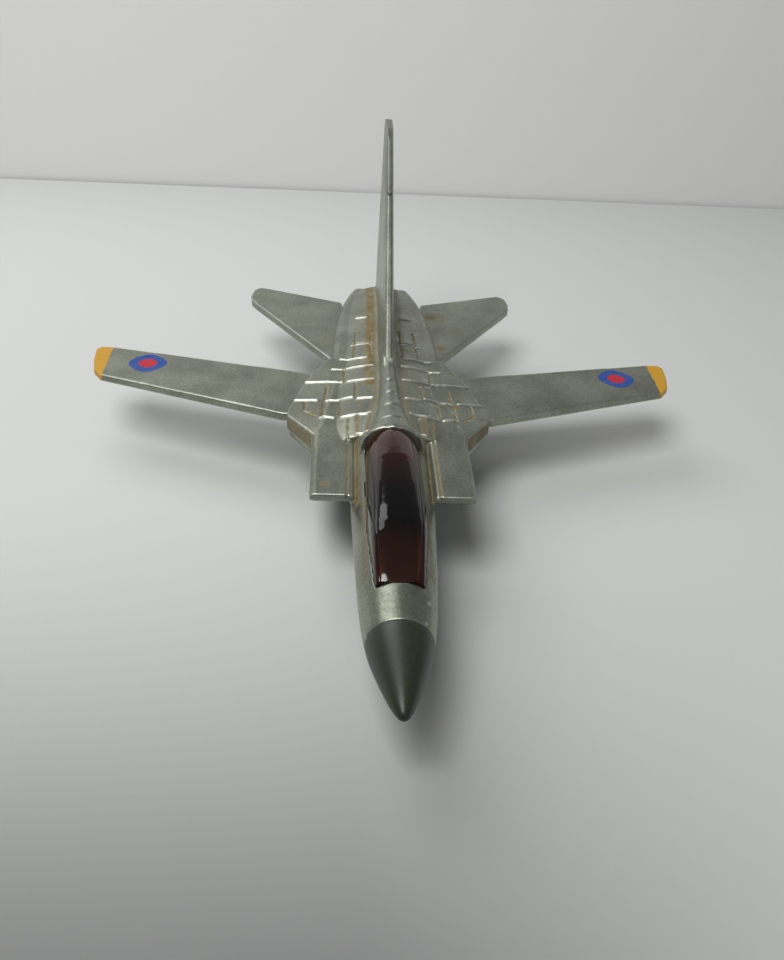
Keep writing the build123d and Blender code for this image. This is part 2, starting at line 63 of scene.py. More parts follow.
def startMaterial(name, shaderValues):
    material = bpy.data.materials.new(name)
    material.use_nodes = True
    tree = material.node_tree
    shader = tree.nodes["Principled BSDF"]
    for socket, value in shaderValues.items():
        shader.inputs[socket].default_value = value
    place = addNode(tree, "ShaderNodeTexCoord")
    return material, tree, shader, place


def setStops(node, stops):
    # (position, tone) pairs onto a colour ramp, a tone being a hex colour or a grey from 0 to 1
    ramp = node.color_ramp
    while len(ramp.elements) < len(stops):
        ramp.elements.new(0.5)
    for element, (position, tone) in zip(ramp.elements, stops):
        element.position = position
        element.color = toLinear(tone) if isinstance(tone, str) else (tone, tone, tone, 1)


silverPaint = {
    "paint": "#7f8375",
    "paintPale": "#989c8c",
    "grime": "#8a7641",
    "grimeDark": "#4a3d24",
    "wearBright": "#dcdfd4",
    # near black: painted shade for the recesses, and the darker tone of the fin cap and its joint
    "shadeAndCapDark": "#17150f",
    "metallic": 0.85,
    "roughness": 0.36,
    "dirtRoughness": 0.35,  # how much rougher the dirt is
    "coat": 0.1,
    "wear": 0.8,
    "flakeSize": 0.22,      # mm between flakes, coarsened from 0.03 so that it shows
    "flakeStrength": 0.22,
    "flakeHeight": 0.03,    # mm
    "peelSize": 1.1,        # mm across the orange peel of the spray
    "peelHeight": 0.07,     # mm
    "blotchSize": 6.0,      # mm across the cloudy patches
    "grimeSize": 1.9,       # mm across a dirty patch
    "rubSize": 0.5,         # mm across a rubbed streak
}


def makeSilverPaint(name, values, dirtyAmount, markings=None):
    # sprayed metallic paint on zinc: aluminium flake in a clear binder
    # it glints softly, dulls under dirt and shines where an edge is rubbed
    # metallic and roughness are also set flat, for viewers that leave the nodes out
    shine = {"Metallic": values["metallic"], "Roughness": values["roughness"], "Specular IOR Level": 0.25}
    shine.update({"Coat Weight": values["coat"], "Coat Roughness": 0.25})
    material, tree, shader, place = startMaterial(name, shine)
    spot = (place, "Object")
    blotchScale = 1 / (values["blotchSize"] * mm)
    blotch = addNode(tree, "ShaderNodeTexNoise", None, {"Vector": spot, "Scale": blotchScale, "Detail": 5.0})
    tint = addNode(tree, "ShaderNodeValToRGB", None, {"Fac": (blotch, "Fac")})
    setStops(tint, [(0.35, values["paint"]), (0.68, values["paintPale"])])
    flakeScale = 1 / (values["flakeSize"] * mm)
    flake = addNode(tree, "ShaderNodeTexVoronoi", None, {"Vector": spot, "Scale": flakeScale})
    flakeGrey = addNode(tree, "ShaderNodeRGBToBW", None, {"Color": (flake, "Color")})
    overlay = {"data_type": "RGBA", "blend_type": "OVERLAY"}
    flaked = {"Factor": values["flakeStrength"], "A": (tint, "Color"), "B": (flakeGrey, "Val")}
    flakeTone = addNode(tree, "ShaderNodeMix", overlay, flaked)
    # dirt lies in the corners and grooves; wear on the raised edges, which also serves as a painted highlight
    shape = addNode(tree, "ShaderNodeNewGeometry")
    hollow = addNode(tree, "ShaderNodeValToRGB", None, {"Fac": (shape, "Pointiness")})
    setStops(hollow, [(0.41, 1.0), (0.492, 0.0)])
    ridgeWearAndHighlight = addNode(tree, "ShaderNodeValToRGB", None, {"Fac": (shape, "Pointiness")})
    setStops(ridgeWearAndHighlight, [(0.512, 0.0), (0.57, 1.0)])
    dirtPattern = {"Vector": spot, "Scale": 1 / (values["grimeSize"] * mm), "Detail": 6.0, "Roughness": 0.62}
    dirtNoise = addNode(tree, "ShaderNodeTexNoise", None, dirtPattern)
    dirtMask = addNode(tree, "ShaderNodeValToRGB", None, {"Fac": (dirtNoise, "Fac")})
    setStops(dirtMask, [(0.34, 0.45), (0.54, 1.0)])
    painted = addNode(tree, "ShaderNodeAttribute", {"attribute_name": "grime"})
    times = {"operation": "MULTIPLY"}
    larger = {"operation": "MAXIMUM"}
    hollowDirt = addNode(tree, "ShaderNodeMath", times, {0: (hollow, "Color"), 1: dirtyAmount})
    together = addNode(tree, "ShaderNodeMath", larger, {0: (hollowDirt, 0), 1: (painted, "Fac")})
    clamped = {"operation": "MULTIPLY", "use_clamp": True}
    dirt = addNode(tree, "ShaderNodeMath", clamped, {0: (together, 0), 1: (dirtMask, "Color")})
    dirtEnds = {"A": toLinear(values["grime"]), "B": toLinear(values["grimeDark"])}
    dirtEnds["Factor"] = (dirtNoise, "Fac")
    dirtTone = addNode(tree, "ShaderNodeMix", {"data_type": "RGBA"}, dirtEnds)
    dirtied = {"Factor": (dirt, 0), "A": (flakeTone, "Result"), "B": (dirtTone, "Result")}
    colour = addNode(tree, "ShaderNodeMix", {"data_type": "RGBA"}, dirtied)
    rubScale = 1 / (values["rubSize"] * mm)
    rubNoise = addNode(tree, "ShaderNodeTexNoise", None, {"Vector": spot, "Scale": rubScale, "Detail": 3.0})
    rubMask = addNode(tree, "ShaderNodeValToRGB", None, {"Fac": (rubNoise, "Fac")})
    setStops(rubMask, [(0.3, 0.35), (0.65, 1.0)])
    # the convex edges lightened: partly worn paint, partly painted highlight
    worn = addNode(tree, "ShaderNodeMath", times, {0: (ridgeWearAndHighlight, "Color"), 1: (rubMask, "Color")})
    rubbed = addNode(tree, "ShaderNodeAttribute", {"attribute_name": "wear"})
    added = {"operation": "ADD", "use_clamp": True}
    wearAndEdgeHighlight = addNode(tree, "ShaderNodeMath", added, {0: (worn, 0), 1: (rubbed, "Fac")})
    wearShare = addNode(tree, "ShaderNodeMath", times, {0: (wearAndEdgeHighlight, 0), 1: values["wear"]})
    bared = {"Factor": (wearShare, 0), "A": (colour, "Result"), "B": toLinear(values["wearBright"])}
    colour = addNode(tree, "ShaderNodeMix", {"data_type": "RGBA"}, bared)
    # painted shade in recesses, the room under the canopy and the intake ducts; also the fin cap's own darker
    # tone and its dark joint line
    shadeAndCapShare = addNode(tree, "ShaderNodeAttribute", {"attribute_name": "shade"})
    darkened = {"Factor": (shadeAndCapShare, "Fac"), "A": (colour, "Result"), "B": toLinear(values["shadeAndCapDark"])}
    colour = addNode(tree, "ShaderNodeMix", {"data_type": "RGBA"}, darkened)
    plain = addNode(tree, "ShaderNodeMath", larger, {0: (dirt, 0), 1: (shadeAndCapShare, "Fac")})
    if markings:
        colour, plain = markings(tree, place, colour, plain)
    tree.links.new(colour.outputs["Result"], shader.inputs["Base Color"])
    # dirt, painted shade, the fin cap and enamel are not metallic
    fallOff = {"operation": "MULTIPLY_ADD", "use_clamp": True}
    lessMetal = {0: (plain, 0), 1: -values["metallic"], 2: values["metallic"]}
    metal = addNode(tree, "ShaderNodeMath", fallOff, lessMetal)
    tree.links.new(metal.outputs[0], shader.inputs["Metallic"])
    sheenSpread = {0: (rubNoise, "Fac"), 1: 0.16, 2: values["roughness"] - 0.08}
    cloudy = addNode(tree, "ShaderNodeMath", {"operation": "MULTIPLY_ADD"}, sheenSpread)
    dirtDull = {0: (dirt, 0), 1: values["dirtRoughness"], 2: (cloudy, 0)}
    rough = addNode(tree, "ShaderNodeMath", {"operation": "MULTIPLY_ADD"}, dirtDull)
    tree.links.new(rough.outputs[0], shader.inputs["Roughness"])
    flakeRelief = {"Strength": 0.16, "Distance": values["flakeHeight"] * mm, "Height": (flake, "Distance")}
    flakeBump = addNode(tree, "ShaderNodeBump", None, flakeRelief)
    peelScale = 1 / (values["peelSize"] * mm)
    peel = addNode(tree, "ShaderNodeTexNoise", None, {"Vector": spot, "Scale": peelScale, "Detail": 4.0})
    peelRelief = {"Strength": 0.3, "Distance": values["peelHeight"] * mm, "Height": (peel, "Fac")}
    peelBump = addNode(tree, "ShaderNodeBump", None, peelRelief | {"Normal": (flakeBump, "Normal")})
    tree.links.new(peelBump.outputs["Normal"], shader.inputs["Normal"])
    return material


def addObject(name, data):
    thing = bpy.data.objects.new(name, data)
    bpy.context.scene.collection.objects.link(thing)
    return thing


def weld(mesh, gap, turnOutward=False):
    # joins vertices that lie closer than the gap in mm
    work = bmesh.new()
    work.from_mesh(mesh)
    bmesh.ops.remove_doubles(work, verts=work.verts, dist=gap * mm)
    if turnOutward:
        bmesh.ops.recalc_face_normals(work, faces=work.faces)
    work.to_mesh(mesh)
    work.free()


def softCopy(nodeName, values, name):
    # re-skins a CAD solid on a fine grid and rounds its edges the way thick paint and a worn mould do
    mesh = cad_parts[nodeName].data.copy()
    weld(mesh, gap=0.002)
    piece = addObject(name, mesh)
    remesh = piece.modifiers.new("grid", "REMESH")
    remesh.mode = "VOXEL"
    remesh.voxel_size = values["voxel"] * mm
    remesh.use_smooth_shade = True
    smooth = piece.modifiers.new("soften", "SMOOTH")
    smooth.factor = 0.5
    smooth.iterations = values["passes"]
    graph = bpy.context.evaluated_depsgraph_get()
    baked = bpy.data.meshes.new_from_object(piece.evaluated_get(graph))
    piece.modifiers.clear()
    piece.data = baked
    piece.data.materials.clear()
    return piece


def verticesOf(piece):
    # places in mm and outward directions
    points = np.empty(len(piece.data.vertices) * 3, np.float32)
    piece.data.vertices.foreach_get("co", points)
    normals = np.empty(len(piece.data.vertices) * 3, np.float32)
    piece.data.vertex_normals.foreach_get("vector", normals)
    return points.reshape(-1, 3).astype(float) / mm, normals.reshape(-1, 3).astype(float)


def setVertices(piece, points):
    piece.data.vertices.foreach_set("co", (points * mm).astype(np.float32).ravel())
    piece.data.update()


def setAttribute(piece, name, values):
    layer = piece.data.attributes.get(name) or piece.data.attributes.new(name, "FLOAT", "POINT")
    layer.data.foreach_set("value", values.astype(np.float32))


def rideFor(piece, body, node):
    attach(piece, body)
    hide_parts(node)


def between(values, limits):
    return (values > limits[0]) & (values < limits[1])


def bell(distance, halfWidth, power=2):
    # 1 on the line, soft to 0 beyond the half width; a higher power gives a flatter top
    return np.exp(-((distance / halfWidth) ** power))


def facingShare(component):
    # 0 for a surface turned sideways, 1 for one that faces fully up or down
    return np.clip((component - 0.5) / 0.3, 0, 1)


def nearestLine(points, lines):
    # distance in mm from each point to the nearest line, both sides of the aircraft alike
    x, y = np.abs(points[:, 0]), points[:, 1]
    nearest = np.full(len(points), 9.0)
    for startX, startY, endX, endY in lines:
        runX, runY = endX - startX, endY - startY
        share = np.clip(((x - startX) * runX + (y - startY) * runY) / (runX**2 + runY**2), 0, 1)
        nearest = np.minimum(nearest, np.hypot(x - startX - share * runX, y - startY - share * runY))
    return nearest


def spotMask(x, y, spots):
    # soft round spots: centre x, centre y, radius, strength
    mask = np.zeros(len(x))
    for centreX, centreY, radius, strength in spots:
        mask = np.maximum(mask, strength * bell(np.hypot(x - centreX, y - centreY), radius))
    return mask


axisZ = 11.5  # mm, fuselage axis above the ground

# ribs and grooves of the deck: x and y of both ends in mm, on the left side and mirrored to the right
deckRelief = {
    "ribHeight": 0.16,
    "grooveDepth": 0.12,
    "halfWidth": 0.17,
    "dirtWidth": 0.24,      # mm, how far the dirt of a groove reaches
    "ribs": [
        (2.3, 15.0, 8.9, 15.1),
        (2.3, 9.8, 6.6, 10.1),
        (7.2, 10.6, 13.5, 11.3),
        (2.5, 3.6, 4.9, 3.7),
        (5.5, 4.4, 9.8, 4.7),
        (10.9, 5.2, 15.0, 5.8),
        (3.0, -1.1, 7.5, -0.9),
        (8.2, -0.5, 10.4, -0.1),
        (3.5, -6.1, 5.1, -5.9),
        (3.2, 18.4, 7.6, 18.7),
        (2.6, 24.3, 5.8, 24.5),
        (3.0, 36.0, 4.9, 36.2),
    ],
    "grooves": [
        (9.6, 9.2, 10.3, -0.1),
        (6.9, 10.6, 6.9, 15.2),
        (5.2, 4.8, 5.1, 9.2),
        (7.6, 0.1, 7.6, 4.1),
        (11.2, 0.3, 13.1, 2.1),
        (12.9, 2.9, 12.9, 5.0),
        (5.4, 18.8, 5.0, 30.2),
        (2.6, 19.0, 2.5, 30.0),
    ],
}

# outlines of the wheel bays and panels of the belly, given in the same way
bellyRelief = {
    "grooveDepth": 0.16,
    "halfWidth": 0.17,
    "dirtWidth": 0.3,
    "grooves": [
        (0.0, -34.5, 2.3, -34.5),
        (2.3, -34.5, 2.3, -25.5),
        (0.0, -25.5, 2.3, -25.5),
        (4.9, 10.5, 8.7, 10.5),
        (8.7, 10.5, 8.7, 19.5),
        (4.9, 19.5, 8.7, 19.5),
        (4.9, 10.5, 4.9, 19.5),
        (0.0, -41.5, 3.2, -41.5),
        (0.0, 28.0, 7.6, 28.0),
        (0.0, 43.0, 6.2, 43.0),
    ],
}

# the intake ducts, which get painted shade, in mm from the middle plane, along the aircraft and from the axis
ductRoom = {"side": (6.75, 10.85), "along": (-19.5, -5.0), "up": (-4.1, 2.35)}


def ductMask(points):
    inSide = between(np.abs(points[:, 0]), ductRoom["side"])
    return inSide & between(points[:, 1], ductRoom["along"]) & between(points[:, 2] - axisZ, ductRoom["up"])


# heights are in mm above the axis
upperBody = {
    "voxel": 0.15,
    "passes": 3,
    "deck": (1.8, 6.4),     # heights between which the deck carries its lines
    "finHalf": 1.4,         # mm, more than half of the fin's thickness
    "finFoot": 8.6,
    "edgePoint": (9.6, 7.6),            # y and height of a point on the fin's leading edge
    "edgeAcross": (0.5926, 0.8055),     # direction across that edge, backwards and down
    "edgeTaper": 2.6,       # mm behind the edge that are thinned
    "edgeThin": 0.45,       # share of the thickness left at the edge
    "capLow": 12,
    "capJoint": 26.7,       # joint line of the fin cap
    "capWidth": 0.2,
    "capDepth": 0.13,
    "dirtLevel": {"fin": 6.5, "cone": 6.6, "spots": 6.0},   # dirt stays below these heights
    "bands": [              # dirty bands: side, half width, y limits, least height, strength
        (4.95, 0.42, (-22, -1), 2.0, 0.95),
        (6.3, 0.22, (-20, -1.5), -20.0, 0.9),
        (4.1, 0.3, (-37, -22), -20.0, 0.5),
    ],
    "spots": [              # rust and dirt spots: x, y, radius, strength
        (-9.4, -17.9, 0.5, 1.3),
        (-11.4, 1.4, 0.6, 1.2),
        (10.4, 4.1, 0.8, 1.0),
        (15.2, 2.6, 0.7, 0.9),
        (14.6, 0.4, 0.4, 0.9),
        (5.2, -3.0, 0.6, 0.8),
        (-4.6, 2.4, 0.5, 0.7),
        (3.2, 22.0, 0.8, 0.8),
        (-2.6, 33.0, 1.0, 1.0),
    ],
    # foot of the cone that runs from the canopy to the fin: y and half width
    "coneFoot": ([-10, -3.5, 4, 15], [4.4, 3.2, 2.3, 1.9]),
    # wing root nib, darkened with the grime colour on its steep faces
    "nib": {"side": (11.6, 16.2), "back": 2.6, "up": (0.9, 3.4), "strength": 0.75},
    # lip around the canopy, which hands do not rub
    "lip": {"side": (2.4, 4.75), "along": (-40.5, -11), "low": 2.6},
    # room under the canopy: y, half width and half height, with a margin for the rounded skin
    "room": ([-42.6, -39.1, -22.5, -9.1], [3.0, 3.5, 4.3, 4.5], [2.8, 3.6, 5.0, 5.0]),
    "roomMargin": 0.15,
    "roomAlong": (-43, -17),
    "roomTop": 3.3,
    "rubbed": 0.9,          # how bright the ribs are worn
    # how dark the painted shade in the room and ducts is, how dark the fin cap and its joint are, and the
    # most that adds up to
    "shade": {"room": 0.85, "duct": 0.8, "cap": 0.35, "capLine": 0.8, "most": 0.95},
}


def deckLines(points, normals, values):
    # raised ribs and pressed grooves; gives the share of rib and the distance to a groove
    upward = facingShare(normals[:, 2]) * between(points[:, 2] - axisZ, values["deck"])
    ribShare = bell(nearestLine(points, deckRelief["ribs"]), deckRelief["halfWidth"]) * upward
    nearGroove = nearestLine(points, deckRelief["grooves"])
    points[:, 2] += ribShare * deckRelief["ribHeight"]
    points[:, 2] -= bell(nearGroove, deckRelief["halfWidth"]) * upward * deckRelief["grooveDepth"]
    return ribShare, nearGroove


def finLines(points, normals, values):
    # draws the leading edge out thin and presses the joint of the cap; gives the cap and its line
    y, height = points[:, 1].copy(), points[:, 2] - axisZ
    acrossY, acrossZ = values["edgeAcross"]
    edgeY, edgeZ = values["edgePoint"]
    behindEdge = np.clip((y - edgeY) * acrossY - (height - edgeZ) * acrossZ, 0, values["edgeTaper"])
    thinned = values["edgeThin"] + (1 - values["edgeThin"]) * np.sqrt(behindEdge / values["edgeTaper"])
    overFoot = (height > values["finFoot"]) & (np.abs(points[:, 0]) < values["finHalf"])
    points[:, 0] *= np.where(overFoot, thinned, 1.0)
    onFin = (height > values["capLow"]) & (np.abs(points[:, 0]) < values["finHalf"])
    capLine = bell(height - values["capJoint"], values["capWidth"]) * onFin
    points -= normals * (capLine * values["capDepth"])[:, None]
    return onFin & (height > values["capJoint"]), capLine


def upperGrime(x, y, height, top, nearGroove, values):
    # ochre dirt beside the fin, on the canopy shoulders, in the splitter gaps and at the tail roots
    side = np.abs(x)
    level = values["dirtLevel"]
    # the right side of the fin's foot is the dirtier one, and its band runs inwards towards the tail
    footLine = np.where(x < 0, 2.85 - 0.018 * (y - 9), 2.45)
    finDirt = bell(side - footLine, 0.95, 4) * (y > 8) * (height < level["fin"])
    finDirt *= np.where(x < 0, 1.0, 0.4)
    coneDirt = bell(side - np.interp(y, *values["coneFoot"]), 0.3) * 0.8
    coneDirt *= between(y, (-10, 12)) & (height < level["cone"])
    layers = [finDirt, coneDirt, bell(nearGroove, deckRelief["dirtWidth"]) * 0.85]
    for centre, halfWidth, along, least, strength in values["bands"]:
        layers.append(bell(side - centre, halfWidth) * between(y, along) * (height > least) * strength)
    layers.append(spotMask(x, y, values["spots"]) * (height < level["spots"]))
    grime = np.clip(np.maximum.reduce(layers), 0, 1) * np.clip(top * 2, 0, 1)
    nib = values["nib"]
    onNib = between(side, nib["side"]) & (y < nib["back"]) & between(height, nib["up"]) & (top < 0.5)
    return np.maximum(grime, onNib * nib["strength"])


def makeUpperBody(values, material):
    piece = softCopy("upper_body", values, "upperCasting")
    points, normals = verticesOf(piece)
    ribShare, nearGroove = deckLines(points, normals, values)
    # masks follow the shape before the cap's joint is pressed in
    y, height = points[:, 1].copy(), points[:, 2] - axisZ
    cap, capLine = finLines(points, normals, values)
    x = points[:, 0].copy()
    side = np.abs(x)
    setVertices(piece, points)
    top = np.clip(normals[:, 2], 0, 1)
    setAttribute(piece, "grime", upperGrime(x, y, height, top, nearGroove, values))
    # the ribs are rubbed bright, and the lip around the canopy is sheltered
    lip = values["lip"]
    sheltered = between(side, lip["side"]) & between(y, lip["along"]) & (height > lip["low"])
    setAttribute(piece, "wear", np.clip(ribShare * values["rubbed"], 0, 1) - sheltered)
    # painted shade in the room under the canopy and in the intake ducts
    roomY, roomWidths, roomHeights = values["room"]
    roomHalf = np.interp(y, roomY, roomWidths) + values["roomMargin"]
    roomHigh = np.interp(y, roomY, roomHeights) + values["roomMargin"]
    inRoom = ((side / roomHalf) ** 2 + (height / roomHigh) ** 2 < 1) & (height < values["roomTop"])
    inside = inRoom & between(y, values["roomAlong"])
    dark = values["shade"]
    paintedRecessShade = inside * dark["room"] + ductMask(points) * dark["duct"]
    # the fin cap's darker tone and its dark joint line are its own colour, added to that painted shade
    shade = paintedRecessShade + cap * dark["cap"] + capLine * dark["capLine"]
    setAttribute(piece, "shade", np.clip(shade, 0, dark["most"]))
    piece.data.materials.append(material)
    rideFor(piece, "airframe", "upper_body")
    return piece


lowerBody = {
    "voxel": 0.18,
    "passes": 3,
    "belly": -3.0,          # mm from the axis, below which the grooves lie
    "dirt": 0.9,
    # how dark the painted shade in the ducts is
    "duct": 0.8,
}


def makeLowerBody(values, material):
    piece = softCopy("lower_body", values, "lowerCasting")
    points, normals = verticesOf(piece)
    downward = facingShare(-normals[:, 2]) * (points[:, 2] < axisZ + values["belly"])
    nearGroove = nearestLine(points, bellyRelief["grooves"])
    points[:, 2] += bell(nearGroove, bellyRelief["halfWidth"]) * downward * bellyRelief["grooveDepth"]
    setVertices(piece, points)
    setAttribute(piece, "grime", bell(nearGroove, bellyRelief["dirtWidth"]) * downward * values["dirt"])
    # painted shade in the intake ducts
    setAttribute(piece, "shade", ductMask(points) * values["duct"])
    piece.data.materials.append(material)
    rideFor(piece, "airframe", "lower_body")
    return piece


def plainCast(nodeName, body, name, material, values):
    piece = softCopy(nodeName, values, name)
    points = verticesOf(piece)[0]
    setAttribute(piece, "grime", np.clip(spotMask(points[:, 0], points[:, 1], values["spots"]), 0, 1))
    setAttribute(piece, "shade", np.zeros(len(points)))
    piece.data.materials.append(material)
    rideFor(piece, body, nodeName)
    return piece


wingPaint = {
    "tipYellow": "#bd8c00",
    "tipLine": 45.9,        # mm from the centre line where the yellow starts
    "tipShake": 0.7,        # mm the brushed edge wanders
    "wobbleSize": 1.2,      # mm between the bends of that edge
    "blue": "#003d8a",
    "red": "#b40d18",
    "markX": 39.3,
    "markY": 18.6,
    "markHalf": 3.15,       # mm, half the width of the rounded lozenge
    "markInner": 1.55,
    "markRound": 1.6,       # 1 is a sharp lozenge, 2 a disc
    "cover": 1.08,          # above 1 where the enamel is thick
    "coverLoss": 0.25,      # how far it wears thin in patches
}


def wingMarkings(tree, place, under, plain):
    # pad-printed lozenges and brushed enamel tips: flat opaque colour over the silver, without flake
    spot = (place, "Object")
    wobbleScale = 1 / (wingPaint["wobbleSize"] * mm)
    wobble = addNode(tree, "ShaderNodeTexNoise", None, {"Vector": spot, "Scale": wobbleScale, "Detail": 4.0})
    parts = addNode(tree, "ShaderNodeSeparateXYZ", None, {"Vector": spot})
    side = addNode(tree, "ShaderNodeMath", {"operation": "ABSOLUTE"}, {0: (parts, "X")})
    shake = {0: (wobble, "Fac"), 1: wingPaint["tipShake"] * mm, 2: (side, 0)}
    shaken = addNode(tree, "ShaderNodeMath", {"operation": "MULTIPLY_ADD"}, shake)
    tipEdge = (wingPaint["tipLine"] + wingPaint["tipShake"] / 2) * mm
    tip = addNode(tree, "ShaderNodeMath", {"operation": "GREATER_THAN"}, {0: (shaken, 0), 1: tipEdge})
    # a rounded lozenge: the two distances from its centre, each raised to a power, add up to less than 1
    markHalf, markRound = wingPaint["markHalf"], wingPaint["markRound"]
    reaches = []
    for distance, centre in (((side, 0), "markX"), ((parts, "Y"), "markY")):
        away = {0: distance, 1: wingPaint[centre] * mm}
        offset = addNode(tree, "ShaderNodeMath", {"operation": "SUBTRACT"}, away)
        share = addNode(tree, "ShaderNodeMath", {"operation": "DIVIDE"}, {0: (offset, 0), 1: markHalf * mm})
        plus = addNode(tree, "ShaderNodeMath", {"operation": "ABSOLUTE"}, {0: (share, 0)})
        reaches.append(addNode(tree, "ShaderNodeMath", {"operation": "POWER"}, {0: (plus, 0), 1: markRound}))
    reach = addNode(tree, "ShaderNodeMath", {"operation": "ADD"}, {0: (reaches[0], 0), 1: (reaches[1], 0)})
    # only on the upper face
    shape = addNode(tree, "ShaderNodeNewGeometry")
    facing = addNode(tree, "ShaderNodeSeparateXYZ", None, {"Vector": (shape, "Normal")})
    upward = addNode(tree, "ShaderNodeMath", {"operation": "GREATER_THAN"}, {0: (facing, "Z"), 1: 0.4})
    innerLimit = (wingPaint["markInner"] / markHalf) ** markRound
    layers = [(tip, "tipYellow")]
    for limit, paint in ((1.0, "blue"), (innerLimit, "red")):
        within = addNode(tree, "ShaderNodeMath", {"operation": "LESS_THAN"}, {0: (reach, 0), 1: limit})
        onTop = addNode(tree, "ShaderNodeMath", {"operation": "MULTIPLY"}, {0: (within, 0), 1: (upward, 0)})
        layers.append((onTop, paint))
    thickness = {0: (wobble, "Fac"), 1: -wingPaint["coverLoss"], 2: wingPaint["cover"]}
    worn = addNode(tree, "ShaderNodeMath", {"operation": "MULTIPLY_ADD"}, thickness)
    clamped = {"operation": "MULTIPLY", "use_clamp": True}
    colour = under
    for mask, paint in layers:
        cover = addNode(tree, "ShaderNodeMath", clamped, {0: (mask, 0), 1: (worn, 0)})
        mixed = {"Factor": (cover, 0), "A": (colour, "Result"), "B": toLinear(wingPaint[paint])}
        colour = addNode(tree, "ShaderNodeMix", {"data_type": "RGBA"}, mixed)
        plain = addNode(tree, "ShaderNodeMath", {"operation": "MAXIMUM"}, {0: (plain, 0), 1: (mask, 0)})
    return colour, plain


castingPaint = makeSilverPaint("silverMetallicPaintOnZincCasting", silverPaint, 0.8)
wingSilver = makeSilverPaint("silverMetallicPaintOnWings", silverPaint, 0.5, wingMarkings)

makeUpperBody(upperBody, castingPaint)
makeLowerBody(lowerBody, castingPaint)
print("both castings done")

wing = {"voxel": 0.16, "passes": 5, "spots": []}
tailplaneLeft = {
    "voxel": 0.16,
    "passes": 5,
    "spots": [(9.5, 42.0, 1.6, 0.9), (7.6, 32.4, 1.4, 0.9), (10.2, 29.0, 1.0, 1.0), (14.0, 37.0, 1.0, 0.5)],
}
tailplaneRight = {
    "voxel": 0.16,
    "passes": 5,
    "spots": [(-10.8, 28.9, 0.9, 0.6), (-14.0, 36.5, 0.6, 0.5), (-18.0, 44.0, 0.8, 0.4)],
}
plainCast("wing_left", "wing_left", "wingLeft", wingSilver, wing)
plainCast("wing_right", "wing_right", "wingRight", wingSilver, wing)
plainCast("tailplane_left", "airframe", "tailplaneLeft", castingPaint, tailplaneLeft)
plainCast("tailplane_right", "airframe", "tailplaneRight", castingPaint, tailplaneRight)
print("wings and tailplanes done")


def makeGrained(name, values):
    # one noise of the grain's size gives both a small change of tone and a fine relief
    material, tree, shader, place = startMaterial(name, values["shader"])
    grainScale = 1 / (values["grainSize"] * mm)
    pattern = {"Vector": (place, "Object"), "Scale": grainScale, "Detail": 5.0}
    grain = addNode(tree, "ShaderNodeTexNoise", None, pattern)
    tone = addNode(tree, "ShaderNodeValToRGB", None, {"Fac": (grain, "Fac")})
    setStops(tone, [(0.3, values["dark"]), (0.7, values["light"])])
    tree.links.new(tone.outputs["Color"], shader.inputs["Base Color"])
    relief = {"Strength": values["relief"], "Distance": 0.03 * mm, "Height": (grain, "Fac")}
    bump = addNode(tree, "ShaderNodeBump", None, relief)
    tree.links.new(bump.outputs["Normal"], shader.inputs["Normal"])
    return material


# injection-moulded polystyrene with a satin skin: one soft highlight and a faint grain
noseCone = {
    "voxel": 0.15,
    "passes": 3,
    "spots": [],
    "dark": "#1f2519",
    "light": "#2e3626",
    "grainSize": 0.35,      # mm, coarsened from 0.05 so that it shows
    "relief": 0.15,
    "shader": {"Roughness": 0.42, "IOR": 1.55, "Coat Weight": 0.08, "Coat Roughness": 0.3},
}
oliveMaterial = makeGrained("oliveMouldedPolystyrene", noseCone)
plainCast("nose_cone", "airframe", "noseCone", oliveMaterial, noseCone)

smokedClear = {
    "colour": "#5a2410",
    "lightAndShadeAlong": [         # mm along the aircraft: painted light and shade, red-brown at the front pane, near black in the middle over the dark cockpit, red-brown at the rear roof
        (-38.5, "#63331a"),
        (-34.6, "#4a2414"),
        (-31.8, "#080302"),
        (-26.5, "#050202"),
        (-22.5, "#3a140c"),
        (-12.0, "#6b2c18"),
    ],
    "waver": 2.4,           # mm the tones wander along the moulding
    "roughness": 0.07,
    "haze": 0.12,           # roughness added by fine wear
    "ior": 1.49,
    "scratchSize": 1.1,     # mm across the worn patches
}


